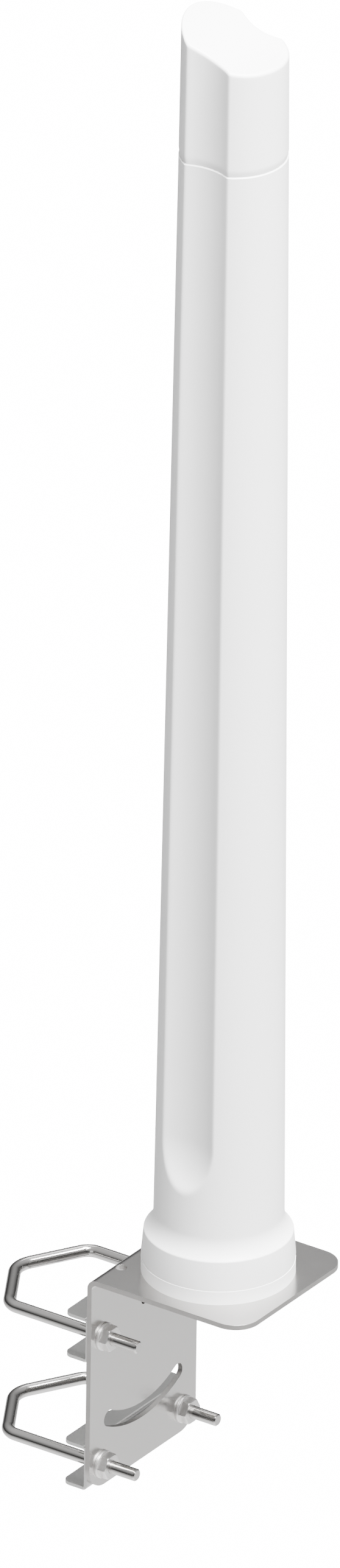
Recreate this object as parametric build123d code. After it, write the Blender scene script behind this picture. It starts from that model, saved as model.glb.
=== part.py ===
from build123d import *
import math
import os

# Pole-mounted omnidirectional antenna on its L-bracket, with two V-bolt mast clamps.
# Millimetres, +Z up. The Z axis is the centre line of the mast that the clamps hold, and the origin lies
# on it midway between the two clamps. +X runs from the mast towards the antenna.

# ---- mast clamps -----------------------------------------------------------------------------------
MAST_R = 30.15            # outside radius of the 60.3 mm tube that the clamps are set for
CLAMP_Z = 39.8            # height of each clamp above and below the origin
ROD_R = 3.6               # V-bolt rod, rolled to an M8 thread at its ends
LEG_Y = 39.2              # V-bolt leg, either side of the mast
LEG_TIP_X = 70.2
V_SLANT = 30.0            # degrees between each half of the bolt's back and the Y axis
LEG_BEND_R = 10.0
APEX_BEND_R = 15.0
TIP_CHAMFER = 0.7

WASHER_R = 8.0
WASHER_BORE_R = 4.2
WASHER_T = 1.6
NUT_ACROSS_FLATS = 13.0
NUT_H = 5.0
NUT_CLEARANCE = 0.05      # the nut's bore stands this far off the rod
NUT_CHAMFER = 0.6

# ---- L-bracket -------------------------------------------------------------------------------------
PLATE_BACK_X = 43.9
PLATE_T = 3.0
PLATE_WIDTH = 103.2
PLATE_BOTTOM_Z = -53.4
SHELF_TOP_Z = 80.0
SHELF_END_X = 146.9
BEND_INNER_R = 3.0
CORNER_R = 15.0
LEG_HOLE_R = 4.5
PIVOT_Z = 46.0            # centre of the arc slot, and the hole that marks it
PIVOT_HOLE_R = 3.0
SLOT_R = 68.5
SLOT_WIDTH = 9.5
SLOT_HALF_ANGLE = 29.0
EARTH_HOLE_X = 51.5
EARTH_HOLE_Y = 30.0
EARTH_HOLE_R = 3.2

# ---- saddles between the mast and the plate --------------------------------------------------------
SADDLE_T = 2.0
SADDLE_HEIGHT = 27.3
SADDLE_WIDTH = 99.0
SADDLE_TIP_X = 27.2
SADDLE_BEND_R = 3.0
SADDLE_TIP_R = 5.0
NOTCH_HALF_ANGLE = 70.0   # each wall of the V-notch from the X axis
NOTCH_SHOULDER_R = 2.0

# ---- antenna body, round its own vertical axis -----------------------------------------------------
ANTENNA_X = 95.4
BASE_R = 42.5
BASE_H = 8.1
COLLAR_TOP_Z = SHELF_TOP_Z + 25.8
COLLAR_TOP_R = 41.3
SHOULDER_TOP_Z = SHELF_TOP_Z + 38.0
SEAM_Z = SHELF_TOP_Z + 688.0
SEAM_R = 30.0
TAPER = 0.0092            # loss of radius per unit of height
WALL = 2.5
COLLAR_BORE_R = 39.0

FLUTE_RADIUS_RATIO = 1.04     # hollow's radius, as a share of the tube's radius at that height
FLUTE_OFFSET_RATIO = 1.82     # distance of the hollow's centre from the axis, likewise
FLUTE_START_Z = SHELF_TOP_Z + 86.0     # above this the hollow is straight, below it is rounded off

CAP_LOW_Z = SHELF_TOP_Z + 749.2
CAP_LOW_X = 34.0          # lowest line of the hollow top, just beyond the cap's own edge
CAP_SADDLE_R = 105.0
CAP_SKIN = 3.0
CAP_BLANK_TOP_Z = SHELF_TOP_Z + 780.0
SPIGOT_GAP = 0.15
SPIGOT_H = 10.0
SPIGOT_WALL = 2.2
SPIGOT_ROOT = 2.0         # how far the spigot runs up into the cap's own wall
BORE_STEP = 2.0           # height by which each stretch of the radome's bore overruns the piece beside it

# ---- base, seals and fixings -----------------------------------------------------------------------
PLUG_R = 38.8
PLUG_TOP_Z = 100.0
PLUG_POCKET_R = 33.0
SEAL_Z = 95.0
SEAL_R = 1.2
SEAL_GAP = 0.1            # room left round the seal's section in its groove
SEAL_GROOVE_H = 2.8
SCREW_PITCH_R = 30.0
SCREW_R = 2.4
SCREW_HEAD_R = 4.75
SCREW_HEAD_H = 3.6
SCREW_TOP_Z = 86.5
SCREW_HOLE_R = 2.75
INSERT_R = 3.2
INSERT_BORE_R = 2.5
INSERT_H = 6.5
INSERT_SETBACK = 0.5
SCREW_EDGE_R = 1.2
SCREW_SOCKET = 4.0
SCREW_SOCKET_H = 2.2
SCREW_WASHER_T = 1.0
SCREW_WASHER_R = 5.2

# ---- coaxial connector -----------------------------------------------------------------------------
CONNECTOR_R = 7.94
CONNECTOR_CLEARANCE = 0.1
CONNECTOR_BORE_R = 4.1
CONNECTOR_LOW_Z = 62.0
CONNECTOR_TOP_Z = 98.0
RELIEF_R = 7.2            # undercut that ends the thread a cable plug screws on to
RELIEF_LOW_Z = 74.0
RELIEF_H = 2.0
FLANGE_ACROSS_FLATS = 20.0
FLANGE_H = 3.6
GASKET_T = 0.8
CONNECTOR_TAIL_R = 5.2
INSULATOR_SETBACK = 10.0
PIN_R = 1.5
CONTACT_SETBACK = 3.0
CONTACT_BORE_R = 0.85
CONTACT_BORE_H = 5.0
CONTACT_SLOT_W = 0.4
CONTACT_SLOT_H = 4.0
ACCESS_HOLE_R = 14.0
NUT_RECESS_R = 13.0
NUT_RECESS_H = 3.0

# ---- circuit board and feed ------------------------------------------------------------------------
BOARD_W = 36.0
BOARD_T = 1.6
BOARD_LOW_Z = 104.0
BOARD_TOP_Z = 745.0
COPPER_T = 0.25
STATIONS = 8
FIRST_STATION_Z = 185.0
STATION_PITCH = 72.0
ARM_X = 11.0
ARM_W = 8.0
ARM_H = 30.0
TAP_H = 2.0
FEED_W = 3.0
GROUND_W = 8.0
NOTCH_W = 8.0
NOTCH_H = 12.0
COAX_R = 1.8
COAX_LEAD = 2.0
COAX_BEND_R = 12.0
COAX_OFFSET = 3.1
COAX_TOP_Z = 140.0
CORE_R = 0.5
CORE_H = 7.0
TAB_GAP = 2.0
SLOT_GAP = 0.1
SOCKET_CORNER_R = 4.0
SOCKET_BORE_R = 12.5
SOCKET_L = 46.0
SOCKET_W = 30.0
SOCKET_TOP_Z = 112.0
SPACERS = 4
FIRST_SPACER_Z = 222.0
SPACER_PITCH = 144.0
SPACER_H = 12.0
SPACER_GAP = 0.4

# ---- values that follow ----------------------------------------------------------------------------
PLATE_FRONT_X = PLATE_BACK_X + PLATE_T
SHELF_LOW_Z = SHELF_TOP_Z - PLATE_T
SEAT_Z = SHELF_TOP_Z + BASE_H
FLANGE_Z = SEAT_Z + GASKET_T
SIDES = (-1, 1)
OVER = 1.0                # how far a cutter or a joined piece runs past the face it meets


def save(name, shape):
    """Write one node's STEP file."""
    export_step(shape, f"parts/{name}.step")
    print(f"{name}: {shape.volume:.1f} mm3")


def edge_at(shape, axis, x, y, z):
    """Return the straight edge along axis whose centre lies nearest to a point."""
    return shape.edges().filter_by(axis).sort_by_distance((x, y, z))[0]


def rod(radius, low, high, x=0.0, y=0.0):
    """Upright cylinder between two heights."""
    return Pos(x, y, (low + high) / 2) * Cylinder(radius, high - low)


def ring(outer, inner, low, high, x=0.0, y=0.0):
    """Upright tube between two heights."""
    return rod(outer, low, high, x, y) - rod(inner, low - OVER, high + OVER, x, y)


def block(x_low, x_high, y_low, y_high, z_low, z_high):
    """Box between two corners."""
    centre = Pos((x_low + x_high) / 2, (y_low + y_high) / 2, (z_low + z_high) / 2)
    return centre * Box(x_high - x_low, y_high - y_low, z_high - z_low)


def along_x(shape, x, y, z):
    """Stand a shape made about +Z on the point given, with its own axis along +X."""
    return Pos(x, y, z) * Rot(0, 90, 0) * shape


def hexagon(across_flats, low, high):
    """Upright hexagonal prism with two corners on the X axis."""
    outline = RegularPolygon(across_flats / 2, 6, major_radius=False)
    return Pos(0, 0, low) * extrude(outline, high - low)


# ---- bracket and clamps ----------------------------------------------------------------------------
def make_bracket():
    """Folded L-plate: round-cornered leaf and shelf, bolt holes, arc slot and antenna holes."""
    half = PLATE_WIDTH / 2
    leaf = block(PLATE_BACK_X, PLATE_FRONT_X, -half, half, PLATE_BOTTOM_Z, SHELF_TOP_Z)
    shelf = block(PLATE_BACK_X, SHELF_END_X, -half, half, SHELF_LOW_Z, SHELF_TOP_Z)
    plate = leaf + shelf
    inside = edge_at(plate, Axis.Y, PLATE_FRONT_X, 0, SHELF_LOW_Z)
    plate = fillet(inside, BEND_INNER_R)
    outside = edge_at(plate, Axis.Y, PLATE_BACK_X, 0, SHELF_TOP_Z)
    plate = fillet(outside, BEND_INNER_R + PLATE_T)
    for side in SIDES:
        plate = fillet(edge_at(plate, Axis.X, PLATE_BACK_X, side * half, PLATE_BOTTOM_Z), CORNER_R)
        plate = fillet(edge_at(plate, Axis.Z, SHELF_END_X, side * half, SHELF_TOP_Z), CORNER_R)
        for height in (-CLAMP_Z, CLAMP_Z):
            plate -= along_x(Cylinder(LEG_HOLE_R, 4 * PLATE_T), PLATE_FRONT_X, side * LEG_Y, height)
        plate -= rod(EARTH_HOLE_R, SHELF_LOW_Z - OVER, SHELF_TOP_Z + OVER, EARTH_HOLE_X, side * EARTH_HOLE_Y)
    plate -= along_x(Cylinder(PIVOT_HOLE_R, 4 * PLATE_T), PLATE_FRONT_X, 0, PIVOT_Z)

    face = Plane(origin=(PLATE_FRONT_X + OVER, 0, PIVOT_Z), x_dir=(0, 1, 0), z_dir=(1, 0, 0))
    middle = CenterArc((0, 0), SLOT_R, 270 - SLOT_HALF_ANGLE, 2 * SLOT_HALF_ANGLE)
    plate -= extrude(face * SlotArc(middle, SLOT_WIDTH), -(PLATE_T + 2 * OVER))

    plate -= rod(ACCESS_HOLE_R, SHELF_LOW_Z - OVER, SHELF_TOP_Z + OVER, ANTENNA_X)
    for x, y in screw_points():
        plate -= rod(SCREW_HOLE_R, SHELF_LOW_Z - OVER, SHELF_TOP_Z + OVER, ANTENNA_X + x, y)
    return plate


def make_saddle(height):
    """Channel behind the plate: its flanges carry the V-notches that seat on the mast."""
    half = SADDLE_WIDTH / 2
    low = height - SADDLE_HEIGHT / 2
    high = height + SADDLE_HEIGHT / 2
    solid = block(SADDLE_TIP_X, PLATE_BACK_X, -half, half, low, high)
    web_x = PLATE_BACK_X - SADDLE_T
    floor = low + SADDLE_T
    roof = high - SADDLE_T
    hollow = block(SADDLE_TIP_X - OVER, web_x, -half - OVER, half + OVER, floor, roof)
    for z in (low, high):
        solid = fillet(edge_at(solid, Axis.Y, PLATE_BACK_X, 0, z), SADDLE_BEND_R)
    for z in (floor, roof):
        hollow = fillet(edge_at(hollow, Axis.Y, web_x, 0, z), SADDLE_BEND_R - SADDLE_T)
    for side in SIDES:
        solid = fillet(edge_at(solid, Axis.Z, SADDLE_TIP_X, side * half, height), SADDLE_TIP_R)

    # The notch walls touch the mast where its normal stands 90 - NOTCH_HALF_ANGLE from the X axis.
    apex = MAST_R / math.sin(math.radians(NOTCH_HALF_ANGLE))
    slope = math.tan(math.radians(NOTCH_HALF_ANGLE))
    shoulder = (apex - SADDLE_TIP_X) * slope
    reach = shoulder + OVER * slope
    outline = Polyline((apex, 0), (SADDLE_TIP_X - OVER, reach), (SADDLE_TIP_X - OVER, -reach), close=True)
    notch = Pos(0, 0, low - OVER) * extrude(make_face(outline), SADDLE_HEIGHT + 2 * OVER)
    solid -= notch
    for side in SIDES:
        solid = fillet(edge_at(solid, Axis.Z, SADDLE_TIP_X, side * shoulder, height), NOTCH_SHOULDER_R)
    solid -= hollow
    for side in SIDES:
        solid -= along_x(Cylinder(LEG_HOLE_R, 4 * SADDLE_T), PLATE_BACK_X, side * LEG_Y, height)
    return solid


def make_v_bolt(height):
    """Rod bent round the back of the mast, with two long legs towards +X."""
    slant = math.radians(V_SLANT)
    reach = MAST_R + ROD_R
    apex_x = -reach / math.cos(slant)
    corner_x = apex_x + LEG_Y * math.tan(slant)
    points = [
        (LEG_TIP_X, -LEG_Y, height),
        (corner_x, -LEG_Y, height),
        (apex_x, 0, height),
        (corner_x, LEG_Y, height),
        (LEG_TIP_X, LEG_Y, height),
    ]
    path = FilletPolyline(*points, radius=[LEG_BEND_R, APEX_BEND_R, LEG_BEND_R])
    section = Plane(origin=points[0], z_dir=(-1, 0, 0)) * Circle(ROD_R)
    bolt = sweep(section, path=path)
    ends = bolt.edges().filter_by(GeomType.CIRCLE).group_by(Axis.X)[-1]
    return chamfer(ends, TIP_CHAMFER)


def make_nut(side, height):
    """Thin hexagon nut with chamfered corners."""
    corner_r = NUT_ACROSS_FLATS / math.sqrt(3)
    blank = rod(corner_r, 0, NUT_H)
    blank = chamfer(blank.edges().filter_by(GeomType.CIRCLE), NUT_CHAMFER)
    nut = blank & hexagon(NUT_ACROSS_FLATS, 0, NUT_H)
    nut -= rod(ROD_R + NUT_CLEARANCE, -OVER, NUT_H + OVER)
    turned = Rot(0, 0, 90) * nut
    return along_x(turned, PLATE_FRONT_X + WASHER_T, side * LEG_Y, height)


def make_washer(side, height):
    """Plain washer on the plate's outer face."""
    washer = ring(WASHER_R, WASHER_BORE_R, 0, WASHER_T)
    return along_x(washer, PLATE_FRONT_X, side * LEG_Y, height)


# ---- antenna body ----------------------------------------------------------------------------------
def tube_radius(z):
    """Outside radius of the tapered tube at a height."""
    return SEAM_R + TAPER * (SEAM_Z - z)


def flute_cutters(inset=0.0):
    """The pair of long tapered hollows, grown by inset, as cutters on the -Y and +Y sides."""
    start_r = FLUTE_RADIUS_RATIO * tube_radius(FLUTE_START_Z) + inset
    length = CAP_BLANK_TOP_Z + OVER - FLUTE_START_Z
    end_r = start_r - FLUTE_RADIUS_RATIO * TAPER * length
    outline = [
        CenterArc((0, 0), start_r, 270, 90),
        Line((start_r, 0), (end_r, length)),
        Line((end_r, length), (0, length)),
        Line((0, length), (0, -start_r)),
    ]
    cutter = revolve(Plane.XZ * make_face(outline), Axis.Z)
    lean = math.degrees(math.atan(FLUTE_OFFSET_RATIO * TAPER))
    offset = FLUTE_OFFSET_RATIO * tube_radius(FLUTE_START_Z)
    return [Pos(0, side * offset, FLUTE_START_Z) * Rot(side * lean, 0, 0) * cutter for side in SIDES]


def fluted_tube(inset, low, high):
    """Tapered tube body between two heights, set in from the outside by inset."""
    cone = Cone(tube_radius(low) - inset, tube_radius(high) - inset, high - low)
    blank = Pos(0, 0, (low + high) / 2) * cone
    return blank - flute_cutters(inset)


def cap_cutter(skin=0.0):
    """Everything above the cap's hollow top, lowered by skin."""
    drum = Cylinder(CAP_SADDLE_R + skin, 4 * SEAM_R)
    return Pos(CAP_LOW_X, 0, CAP_LOW_Z + CAP_SADDLE_R) * Rot(90, 0, 0) * drum


def make_radome():
    """One-piece cover: collar, swept shoulder and fluted tube, open at both ends."""
    top_r = tube_radius(SHOULDER_TOP_Z)
    drop = SHOULDER_TOP_Z - COLLAR_TOP_Z
    sweep_r = (drop ** 2 + (COLLAR_TOP_R - top_r) ** 2) / (2 * (COLLAR_TOP_R - top_r))
    turn = math.degrees(math.asin(drop / sweep_r))
    outline = [
        Line((0, SEAT_Z), (BASE_R, SEAT_Z)),
        Line((BASE_R, SEAT_Z), (COLLAR_TOP_R, COLLAR_TOP_Z)),
        CenterArc((top_r + sweep_r, SHOULDER_TOP_Z), sweep_r, 180, turn),
        Line((top_r, SHOULDER_TOP_Z), (SEAM_R, SEAM_Z)),
        Line((SEAM_R, SEAM_Z), (0, SEAM_Z)),
        Line((0, SEAM_Z), (0, SEAT_Z)),
    ]
    outside = revolve(Plane.XZ * make_face(outline), Axis.Z)
    inside_points = [
        (0, SEAT_Z - OVER),
        (COLLAR_BORE_R, SEAT_Z - OVER),
        (COLLAR_BORE_R, PLUG_TOP_Z + BORE_STEP),
        (top_r - WALL, SHOULDER_TOP_Z + BORE_STEP),
        (SEAM_R - WALL - OVER * TAPER, SEAM_Z + OVER),
        (0, SEAM_Z + OVER),
    ]
    inside = revolve(Plane.XZ * make_face(Polyline(*inside_points, close=True)), Axis.Z)
    return (outside - flute_cutters()) - (inside - flute_cutters(WALL))


def make_top_cap():
    """Slanting, hollow-topped cap with a spigot that fits down inside the tube."""
    spigot_inset = WALL + SPIGOT_GAP
    cap = fluted_tube(0, SEAM_Z, CAP_BLANK_TOP_Z) - cap_cutter()
    cap += fluted_tube(spigot_inset, SEAM_Z - SPIGOT_H, SEAM_Z + SPIGOT_ROOT)
    hollow = fluted_tube(spigot_inset + SPIGOT_WALL, SEAM_Z - SPIGOT_H - OVER, CAP_BLANK_TOP_Z)
    return cap - (hollow - cap_cutter(CAP_SKIN))


def screw_points():
    """Centres of the four base screws, about the antenna's axis."""
    reach = SCREW_PITCH_R / math.sqrt(2)
    return [(x * reach, y * reach) for x in SIDES for y in SIDES]


def make_base_plug():
    """Base ring with a spigot inside the collar, a seal groove, insert holes and the connector hole."""
    plug = rod(BASE_R, SHELF_TOP_Z, SEAT_Z) + rod(PLUG_R, SEAT_Z - OVER, PLUG_TOP_Z)
    plug -= rod(PLUG_POCKET_R, SEAT_Z, PLUG_TOP_Z + OVER)
    plug -= rod(CONNECTOR_R + CONNECTOR_CLEARANCE, SHELF_TOP_Z - OVER, SEAT_Z + OVER)
    plug -= rod(NUT_RECESS_R, SHELF_TOP_Z - OVER, SHELF_TOP_Z + NUT_RECESS_H)
    groove_inner = COLLAR_BORE_R - 2 * SEAL_R - SEAL_GAP
    plug -= ring(PLUG_R + OVER, groove_inner, SEAL_Z - SEAL_GROOVE_H / 2, SEAL_Z + SEAL_GROOVE_H / 2)
    for x, y in screw_points():
        plug -= rod(INSERT_R, SHELF_TOP_Z - OVER, SHELF_TOP_Z + INSERT_H + INSERT_SETBACK, x, y)
    return plug


def make_base_seal():
    """O-ring round the plug's spigot."""
    return Pos(0, 0, SEAL_Z) * Torus(COLLAR_BORE_R - SEAL_R - SEAL_GAP / 2, SEAL_R)


def grouped(shape):
    """Four copies of a piece made on the axis, one at each screw, as a group of separate solids."""
    return Compound(children=[Pos(x, y, 0) * shape for x, y in screw_points()])


def make_screws():
    """Pan-head screws with hexagon sockets, up through the shelf into the base plug."""
    head_top = SHELF_LOW_Z - SCREW_WASHER_T
    head_low = head_top - SCREW_HEAD_H
    head = rod(SCREW_HEAD_R, head_low, head_top)
    head = fillet(head.edges().group_by(Axis.Z)[0], SCREW_EDGE_R)
    screw = head + rod(SCREW_R, head_top - OVER, SCREW_TOP_Z)
    return grouped(screw - hexagon(SCREW_SOCKET, head_low - OVER, head_low + SCREW_SOCKET_H))


def make_screw_washers():
    """Plain washers under the screw heads."""
    return grouped(ring(SCREW_WASHER_R, SCREW_HOLE_R, SHELF_LOW_Z - SCREW_WASHER_T, SHELF_LOW_Z))


def make_inserts():
    """Brass thread inserts in the base plug."""
    return grouped(ring(INSERT_R, INSERT_BORE_R, SHELF_TOP_Z + INSERT_SETBACK, SHELF_TOP_Z + INSERT_H))


# ---- coaxial connector -----------------------------------------------------------------------------
def make_connector_body():
    """Shell whose outside takes a cable plug below the relief, with its hexagon flange inside the base."""
    body = rod(CONNECTOR_R, CONNECTOR_LOW_Z, FLANGE_Z + OVER)
    body = chamfer(body.edges().group_by(Axis.Z)[0], TIP_CHAMFER)
    body -= ring(CONNECTOR_R + OVER, RELIEF_R, RELIEF_LOW_Z, RELIEF_LOW_Z + RELIEF_H)
    body += hexagon(FLANGE_ACROSS_FLATS, FLANGE_Z, FLANGE_Z + FLANGE_H)
    body += rod(CONNECTOR_TAIL_R, FLANGE_Z, CONNECTOR_TOP_Z)
    return body - rod(CONNECTOR_BORE_R, CONNECTOR_LOW_Z - OVER, CONNECTOR_TOP_Z + OVER)


def make_connector_gasket():
    """Flat ring between the connector's flange and the floor of the base plug."""
    return ring(FLANGE_ACROSS_FLATS / 2, CONNECTOR_R + CONNECTOR_CLEARANCE, SEAT_Z, FLANGE_Z)


def make_connector_nut():
    """Hexagon nut that pulls the connector down, in a recess under the base plug."""
    nut = hexagon(FLANGE_ACROSS_FLATS, SHELF_TOP_Z, SHELF_TOP_Z + NUT_RECESS_H)
    return nut - rod(CONNECTOR_R + NUT_CLEARANCE, SHELF_TOP_Z - OVER, SEAT_Z)


def make_connector_insulator():
    """Plastic bead that centres the contact in the shell."""
    return ring(CONNECTOR_BORE_R, PIN_R, CONNECTOR_LOW_Z + INSULATOR_SETBACK, CONNECTOR_TOP_Z)


def make_connector_contact():
    """Centre contact with a bored, slotted socket end."""
    low = CONNECTOR_LOW_Z + CONTACT_SETBACK
    contact = rod(PIN_R, low, CONNECTOR_TOP_Z)
    contact -= rod(CONTACT_BORE_R, low - OVER, low + CONTACT_BORE_H)
    for turn in (0, 90):
        slot = Box(3 * PIN_R, CONTACT_SLOT_W, 2 * CONTACT_SLOT_H)
        contact -= Pos(0, 0, low) * Rot(0, 0, turn) * slot
    return contact


# ---- circuit board and feed ------------------------------------------------------------------------
def make_board():
    """Long circuit board, notched at its foot for the feed cable."""
    board = block(-BOARD_W / 2, BOARD_W / 2, -BOARD_T / 2, BOARD_T / 2, BOARD_LOW_Z, BOARD_TOP_Z)
    notch = block(-NOTCH_W / 2, NOTCH_W / 2, -BOARD_T, BOARD_T, BOARD_LOW_Z - OVER, BOARD_LOW_Z + NOTCH_H)
    return board - notch


def make_line(face, width):
    """Copper strip up the middle of one face of the board."""
    low = COAX_TOP_Z + TAB_GAP
    top = FIRST_STATION_Z + (STATIONS - 1) * STATION_PITCH + TAP_H
    near = face * BOARD_T / 2
    far = face * (BOARD_T / 2 + COPPER_T)
    return block(-width / 2, width / 2, min(near, far), max(near, far), low, top)


def make_arms(face, width):
    """Radiating arms on one face: upwards from each tap on the front, downwards on the back."""
    near = face * BOARD_T / 2
    far = face * (BOARD_T / 2 + COPPER_T)
    y_low = min(near, far)
    y_high = max(near, far)
    arms = []
    for index in range(STATIONS):
        tap = FIRST_STATION_Z + index * STATION_PITCH
        end = tap + face * ARM_H
        for side in SIDES:
            inner = side * (ARM_X - ARM_W / 2)
            outer = side * (ARM_X + ARM_W / 2)
            arm = block(min(inner, outer), max(inner, outer), y_low, y_high, min(tap, end), max(tap, end))
            root = side * width / 2
            arm += block(min(root, outer), max(root, outer), y_low, y_high, tap, tap + TAP_H)
            arms.append(arm)
    return Compound(children=arms)


def make_feed_coax():
    """Semi-rigid cable from the connector's tail to the board, stepping off to the board's front."""
    step = math.acos(1 - COAX_OFFSET / (2 * COAX_BEND_R))
    bend_z = CONNECTOR_TOP_Z + COAX_LEAD
    middle = (0, COAX_OFFSET / 2, bend_z + COAX_BEND_R * math.sin(step))
    end_z = bend_z + 2 * COAX_BEND_R * math.sin(step)
    half = step / 2
    first = (0, COAX_BEND_R * (1 - math.cos(half)), bend_z + COAX_BEND_R * math.sin(half))
    last = (0, COAX_OFFSET - first[1], end_z - COAX_BEND_R * math.sin(half))
    path = Wire([
        Edge.make_line((0, 0, CONNECTOR_TOP_Z), (0, 0, bend_z)),
        Edge.make_three_point_arc((0, 0, bend_z), first, middle),
        Edge.make_three_point_arc(middle, last, (0, COAX_OFFSET, end_z)),
        Edge.make_line((0, COAX_OFFSET, end_z), (0, COAX_OFFSET, COAX_TOP_Z)),
    ])
    print(f"feed cable: {path.length:.1f} mm long, bends of {COAX_BEND_R} mm")
    cable = sweep(Plane.XY.offset(CONNECTOR_TOP_Z) * Circle(COAX_R), path=path)
    return cable + rod(CORE_R, COAX_TOP_Z - OVER, COAX_TOP_Z + CORE_H, y=COAX_OFFSET)


def make_feed_tab():
    """Solder tab that joins the cable's core to the front copper strip."""
    low = COAX_TOP_Z + TAB_GAP
    high = COAX_TOP_Z + CORE_H
    front = BOARD_T / 2 + COPPER_T
    tab = block(-FEED_W / 2, FEED_W / 2, front, COAX_OFFSET + 2 * CORE_R, low, high)
    return tab - rod(CORE_R, low - OVER, high + OVER, y=COAX_OFFSET)


def make_board_socket():
    """Moulded block in the base that grips the foot of the board round the connector's tail."""
    socket = block(-SOCKET_L / 2, SOCKET_L / 2, -SOCKET_W / 2, SOCKET_W / 2, SEAT_Z, SOCKET_TOP_Z)
    socket = fillet(socket.edges().filter_by(Axis.Z), SOCKET_CORNER_R)
    socket -= rod(SOCKET_BORE_R, SEAT_Z - OVER, SOCKET_TOP_Z + OVER)
    half_w = BOARD_W / 2 + SLOT_GAP
    half_t = BOARD_T / 2 + SLOT_GAP
    return socket - block(-half_w, half_w, -half_t, half_t, BOARD_LOW_Z, SOCKET_TOP_Z + OVER)


def make_spacers():
    """Foam discs that centre the board in the tube, each cut to the tube's inside."""
    half_w = BOARD_W / 2 + SLOT_GAP
    half_t = BOARD_T / 2 + COPPER_T + SLOT_GAP
    discs = []
    for index in range(SPACERS):
        low = FIRST_SPACER_Z + index * SPACER_PITCH
        high = low + SPACER_H
        disc = fluted_tube(WALL + SPACER_GAP, low, high)
        discs.append(disc - block(-half_w, half_w, -half_t, half_t, low - OVER, high + OVER))
    return Compound(children=discs)


def main():
    """Build every node and write its STEP file."""
    os.makedirs("parts", exist_ok=True)
    save("l_bracket", make_bracket())
    for level, height in (("upper", CLAMP_Z), ("lower", -CLAMP_Z)):
        save(f"{level}_saddle", make_saddle(height))
        save(f"{level}_v_bolt", make_v_bolt(height))
        for hand, side in (("near", -1), ("far", 1)):
            save(f"{level}_{hand}_nut", make_nut(side, height))
            save(f"{level}_{hand}_washer", make_washer(side, height))

    antenna = {
        "radome": make_radome(),
        "top_cap": make_top_cap(),
        "base_plug": make_base_plug(),
        "base_seal": make_base_seal(),
        "base_screws": make_screws(),
        "base_screw_washers": make_screw_washers(),
        "thread_inserts": make_inserts(),
        "connector_body": make_connector_body(),
        "connector_gasket": make_connector_gasket(),
        "connector_nut": make_connector_nut(),
        "connector_insulator": make_connector_insulator(),
        "connector_contact": make_connector_contact(),
        "feed_coax": make_feed_coax(),
        "feed_tab": make_feed_tab(),
        "circuit_board": make_board(),
        "front_feed_line": make_line(1, FEED_W),
        "rear_ground_strip": make_line(-1, GROUND_W),
        "front_dipole_arms": make_arms(1, FEED_W),
        "rear_dipole_arms": make_arms(-1, GROUND_W),
        "board_socket": make_board_socket(),
        "foam_spacers": make_spacers(),
    }
    for name, shape in antenna.items():
        save(name, Pos(ANTENNA_X, 0, 0) * shape)


main()
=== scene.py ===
import logging
import math
from dataclasses import dataclass
from enum import Enum
from typing import Any, Mapping, Sequence

import bmesh
import bpy
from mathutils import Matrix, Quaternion, Vector


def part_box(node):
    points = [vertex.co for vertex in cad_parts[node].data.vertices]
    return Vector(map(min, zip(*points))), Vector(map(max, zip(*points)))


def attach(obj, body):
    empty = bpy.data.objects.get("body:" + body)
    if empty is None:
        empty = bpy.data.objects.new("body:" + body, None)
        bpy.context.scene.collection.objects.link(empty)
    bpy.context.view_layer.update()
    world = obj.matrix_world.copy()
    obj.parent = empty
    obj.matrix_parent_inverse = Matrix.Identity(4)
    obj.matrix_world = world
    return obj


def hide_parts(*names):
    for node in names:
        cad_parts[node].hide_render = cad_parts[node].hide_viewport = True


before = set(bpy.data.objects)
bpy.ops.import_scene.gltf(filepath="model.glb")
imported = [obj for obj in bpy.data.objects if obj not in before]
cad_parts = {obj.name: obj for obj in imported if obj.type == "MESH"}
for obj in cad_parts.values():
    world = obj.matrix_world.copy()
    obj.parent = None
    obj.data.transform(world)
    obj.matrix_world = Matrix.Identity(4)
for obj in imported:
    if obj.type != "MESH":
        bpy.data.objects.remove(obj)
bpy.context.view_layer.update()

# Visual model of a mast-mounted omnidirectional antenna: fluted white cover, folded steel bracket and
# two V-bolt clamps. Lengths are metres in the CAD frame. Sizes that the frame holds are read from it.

LOG = logging.getLogger("antenna")
MM = 0.001
ROOT_BODY = "bracket_and_antenna"
LEVELS = ("upper", "lower")
HANDS = ("near", "far")
WASHERS = tuple(f"{level}_{hand}_washer" for level in LEVELS for hand in HANDS)
SMOOTH_ANGLE = math.radians(32)
WELD = 1e-6
EDGE_STEPS = 2
WASHER_CORNER_STEPS = 3
FLAT_WEIGHT = 100
MOTTLE_DETAIL = 4.0
RELIEF_DETAIL = 3.0
RELIEF_ROUGHNESS = 0.6
QUARTER_TURN = 90.0
FULL_TURN = 360
TURN_DIGITS = 4
FLUTE_SIDES = (90, 270)

Colour = tuple[float, float, float]


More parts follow.
